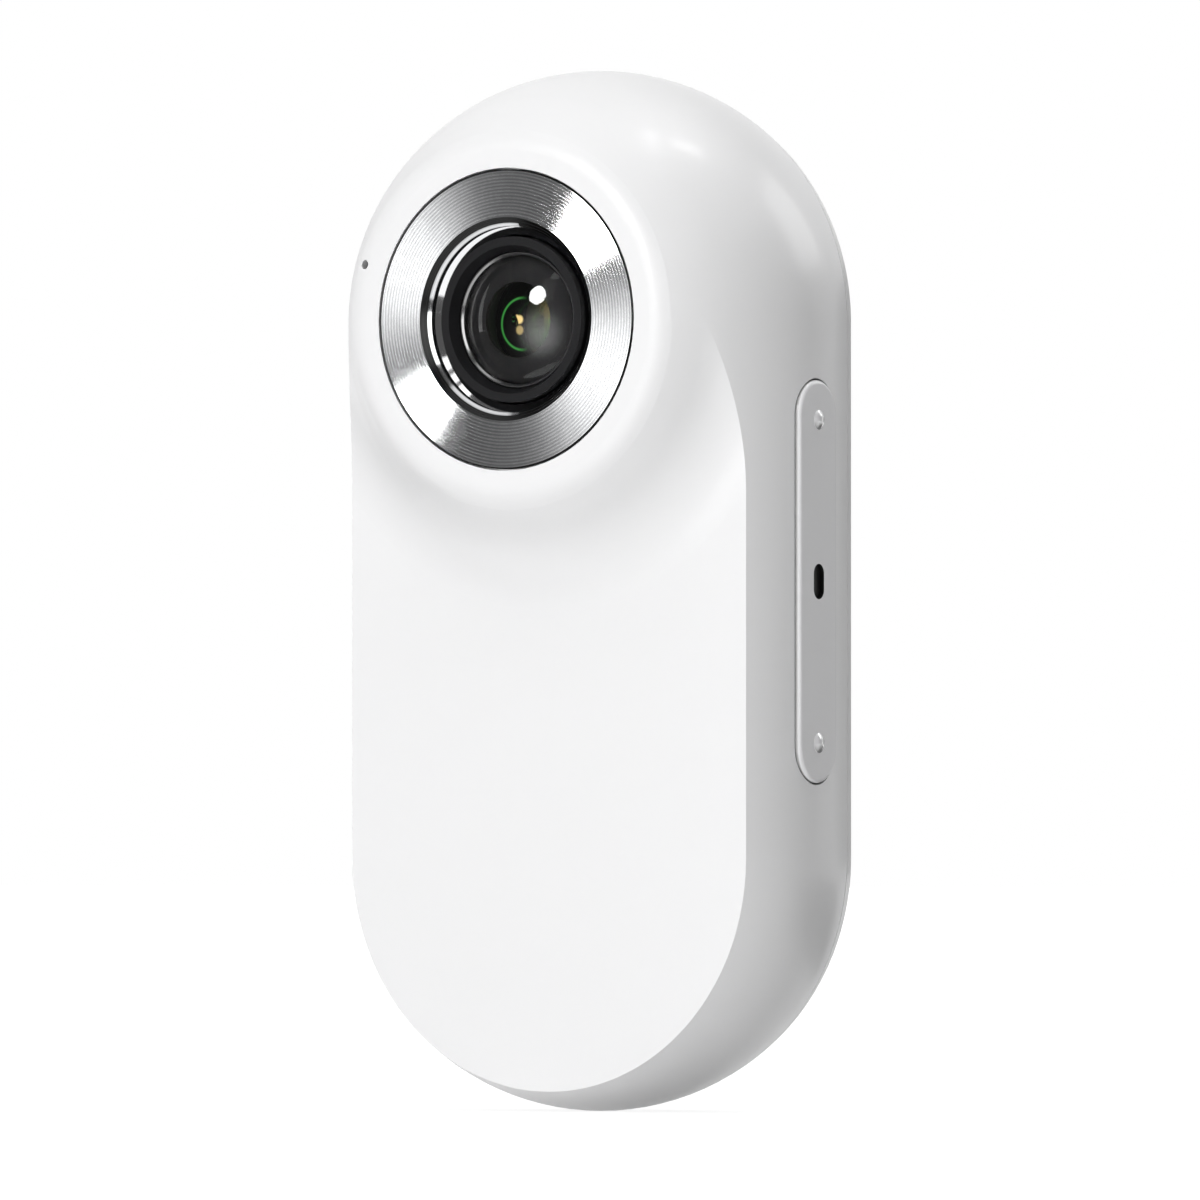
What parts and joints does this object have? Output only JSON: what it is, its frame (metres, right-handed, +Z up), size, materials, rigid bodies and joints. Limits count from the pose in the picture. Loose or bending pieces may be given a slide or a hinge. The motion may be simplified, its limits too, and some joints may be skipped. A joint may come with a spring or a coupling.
{
  "type": "pet collar camera",
  "caption": "Small capsule-shaped white camera with a round lens head, a flat back with magnets behind it, a side rocker button and a memory card slot.",
  "frame": {"origin": "centre of the flat back face", "axes": "+Z up towards the lens end, +Y to the back, so the lens looks along -Y, and +X towards the rocker side"},
  "size_m": [0.0355, 0.0199, 0.072],
  "materials": {
    "shell_white": "glossy white moulded plastic",
    "ring_satin": "spun satin, fine concentric lines",
    "bezel_bright": "bright plated",
    "barrel_black": "satin black",
    "retainer_grey": "matt dark grey",
    "lens_glass": "polished, green-violet coating",
    "filter_glass": "blue-green tinted",
    "holder_black": "moulded black",
    "sensor_silicon": "dark ceramic and glass package",
    "board_green": "solder mask",
    "chip_black": "moulded package",
    "shield_tin": "tinned sheet",
    "screw_steel": "machined",
    "cell_foil": "foil pouch",
    "tape_black": "foam tape",
    "flex_amber": "polyimide film",
    "socket_steel": "drawn steel",
    "card_black": "fine matt",
    "rubber_black": "soft matt",
    "seal_grey": "translucent silicone",
    "rocker_grey": "satin light grey",
    "window_black": "smoked clear",
    "dome_steel": "sprung steel",
    "magnet_nickel": "nickel plated",
    "light_yellow": "phosphor resin"
  },
  "bodies": {
    "housing": {"front_shell": "shell_white", "back_cover": "shell_white", "cover_seal": "rubber_black", "back_magnets": "magnet_nickel", "lens_trim_ring": "ring_satin", "ring_tape": "tape_black", "lens_bezel": "bezel_bright", "lens_barrel": "barrel_black", "lens_retainer": "barrel_black", "front_lens": "lens_glass", "front_lens_spacer": "retainer_grey", "middle_lens": "lens_glass", "rear_lens_spacer": "barrel_black", "rear_lens": "lens_glass", "lens_holder": "holder_black", "infrared_filter": "filter_glass", "image_sensor": "sensor_silicon", "sensor_board": "board_green", "board_connector": "holder_black", "main_board": "board_green", "processor": "chip_black", "memory_chip": "chip_black", "radio_shield": "shield_tin", "antenna": "light_yellow", "board_screws": "screw_steel", "battery": "cell_foil", "battery_tape": "tape_black", "battery_board": "board_green", "battery_socket": "holder_black", "battery_strap": "flex_amber", "usb_socket": "socket_steel", "usb_tongue": "holder_black", "card_socket": "socket_steel", "microphone_boot": "rubber_black", "microphone": "shield_tin", "microphone_strap": "flex_amber", "rocker_pin": "screw_steel", "button_seal": "seal_grey", "button_bracket": "dome_steel", "button_board": "board_green", "status_light": "light_yellow", "upper_snap_dome": "dome_steel", "lower_snap_dome": "dome_steel", "button_screws": "screw_steel"},
    "rocker": {"rocker_button": "rocker_grey", "rocker_window": "window_black"},
    "card": {"memory_card": "card_black"}
  },
  "joints": [
    {"name": "rocker_pivot", "type": "hinge", "parent": "housing", "child": "rocker", "pos_m": [0.01495, -0.0076, 0.0005], "axis": [0, 1, 0], "range_deg": [-1.4, 1.4], "stiffness_Nm_per_rad": 0.4, "deforming": ["button_seal", "upper_snap_dome", "lower_snap_dome"]},
    {"name": "card_slide", "type": "slide", "parent": "housing", "child": "card", "axis": [-1, 0, 0], "range_m": [0, 0.011]}
  ]
}
